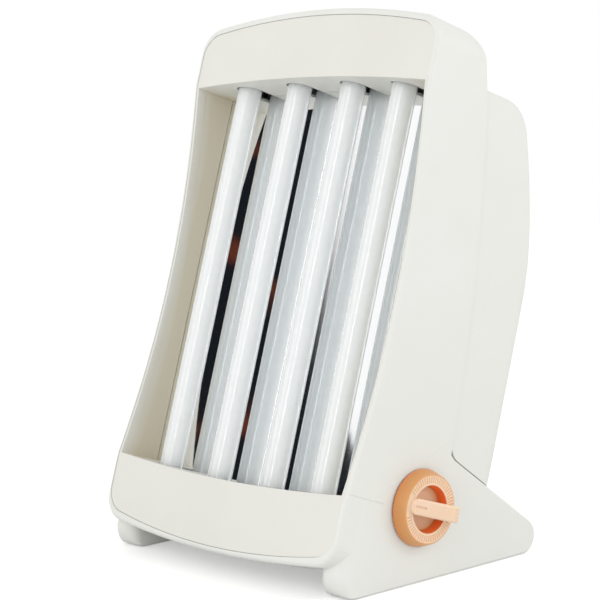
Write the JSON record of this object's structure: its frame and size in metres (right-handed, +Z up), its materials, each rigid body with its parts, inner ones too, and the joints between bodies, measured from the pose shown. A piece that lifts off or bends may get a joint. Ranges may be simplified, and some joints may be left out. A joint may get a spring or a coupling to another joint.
{
  "type": "sun lamp",
  "caption": "Leaning table-top sun lamp: slim tubes before a mirror in an open window, clockwork timer knob on the side, fixed skids.",
  "frame": {"origin": "on the table under the middle of the whole lamp's box", "axes": "+X to the right seen from the front, where the knob is; +Y to the back; +Z up; the window faces -Y"},
  "size_m": [0.2395, 0.1822, 0.3511],
  "materials": {
    "white_shell": "satin white moulding",
    "cream_frame": "satin cream white moulding",
    "cover_shell": "fine-textured white moulding",
    "mirror": "bright reflector sheet",
    "steel": "zinc-plated sheet",
    "tube_glass": "milky phosphor-coated glass",
    "cap_metal": "plain",
    "holder_plastic": "plain white",
    "core_iron": "dark varnish",
    "coil_wire": "enamelled copper winding",
    "can_metal": "plain can",
    "timer_black": "plain black",
    "wheel_brass": "plain",
    "knob_peach": "satin peach",
    "soft_black": "matt",
    "wire_cover": "sleeved bundle",
    "screw_steel": "zinc-plated"
  },
  "bodies": {
    "lamp_body": {"outer_housing": "white_shell", "front_frame": "cream_frame", "back_cover": "cover_shell", "mirror_reflector": "mirror", "chassis": "steel", "lower_holder_1": "holder_plastic", "lower_holder_2": "holder_plastic", "lower_holder_3": "holder_plastic", "lower_holder_4": "holder_plastic", "upper_holder_1": "holder_plastic", "upper_holder_2": "holder_plastic", "upper_holder_3": "holder_plastic", "upper_holder_4": "holder_plastic", "choke_core_1": "core_iron", "choke_core_2": "core_iron", "choke_coil_1": "coil_wire", "choke_coil_2": "coil_wire", "choke_foot_1": "steel", "choke_foot_2": "steel", "starter_1": "can_metal", "starter_2": "can_metal", "starter_3": "can_metal", "starter_4": "can_metal", "starter_socket_1": "holder_plastic", "starter_socket_2": "holder_plastic", "starter_socket_3": "holder_plastic", "starter_socket_4": "holder_plastic", "terminal_block": "holder_plastic", "timer_case": "timer_black", "timer_plate": "steel", "mainspring": "steel", "switch_contacts": "wheel_brass", "cord_grommet": "soft_black", "mains_loom": "wire_cover", "holder_loom": "wire_cover", "starter_loom": "wire_cover", "cover_screws": "screw_steel", "chassis_screws": "screw_steel", "choke_screws": "screw_steel", "timer_screws": "screw_steel", "skid_pads": "soft_black"},
    "knob": {"timer_knob": "knob_peach", "timer_shaft": "steel", "timer_cam_wheel": "holder_plastic"},
    "second_gear": {"second_wheel": "wheel_brass"},
    "governor": {"governor_wheel": "wheel_brass"},
    "tube_1": {"tube_glass_1": "tube_glass", "tube_caps_1": "cap_metal", "holder_rotors_1": "holder_plastic"},
    "tube_2": {"tube_glass_2": "tube_glass", "tube_caps_2": "cap_metal", "holder_rotors_2": "holder_plastic"},
    "tube_3": {"tube_glass_3": "tube_glass", "tube_caps_3": "cap_metal", "holder_rotors_3": "holder_plastic"},
    "tube_4": {"tube_glass_4": "tube_glass", "tube_caps_4": "cap_metal", "holder_rotors_4": "holder_plastic"}
  },
  "joints": [
    {"name": "knob_turn", "type": "hinge", "parent": "lamp_body", "child": "knob", "pos_m": [0.1022, -0.01525, 0.04628], "axis": [1, 0, 0], "range_deg": [-300, 0]},
    {"name": "second_wheel_turn", "type": "hinge", "parent": "lamp_body", "child": "second_gear", "pos_m": [0.0812, -0.02211, 0.05963], "axis": [1, 0, 0], "range_deg": [0, 1200]},
    {"name": "governor_turn", "type": "hinge", "parent": "lamp_body", "child": "governor", "pos_m": [0.0812, -0.01111, 0.06198], "axis": [1, 0, 0], "range_deg": [-4800, 0]},
    {"name": "tube_turn_1", "type": "hinge", "parent": "lamp_body", "child": "tube_1", "pos_m": [-0.0819, -0.02025, 0.1776], "axis": [0, 0.3057, 0.9521], "range_deg": [0, 90]},
    {"name": "tube_turn_2", "type": "hinge", "parent": "lamp_body", "child": "tube_2", "pos_m": [-0.03415, -0.01873, 0.17711], "axis": [0, 0.3057, 0.9521], "range_deg": [0, 90]},
    {"name": "tube_turn_3", "type": "hinge", "parent": "lamp_body", "child": "tube_3", "pos_m": [0.01655, -0.01873, 0.17711], "axis": [0, 0.3057, 0.9521], "range_deg": [0, 90]},
    {"name": "tube_turn_4", "type": "hinge", "parent": "lamp_body", "child": "tube_4", "pos_m": [0.0643, -0.02025, 0.1776], "axis": [0, 0.3057, 0.9521], "range_deg": [0, 90]}
  ],
  "couplings": [
    {"joint": "second_wheel_turn", "follows": "knob_turn", "ratio": -4},
    {"joint": "governor_turn", "follows": "knob_turn", "ratio": 16}
  ]
}
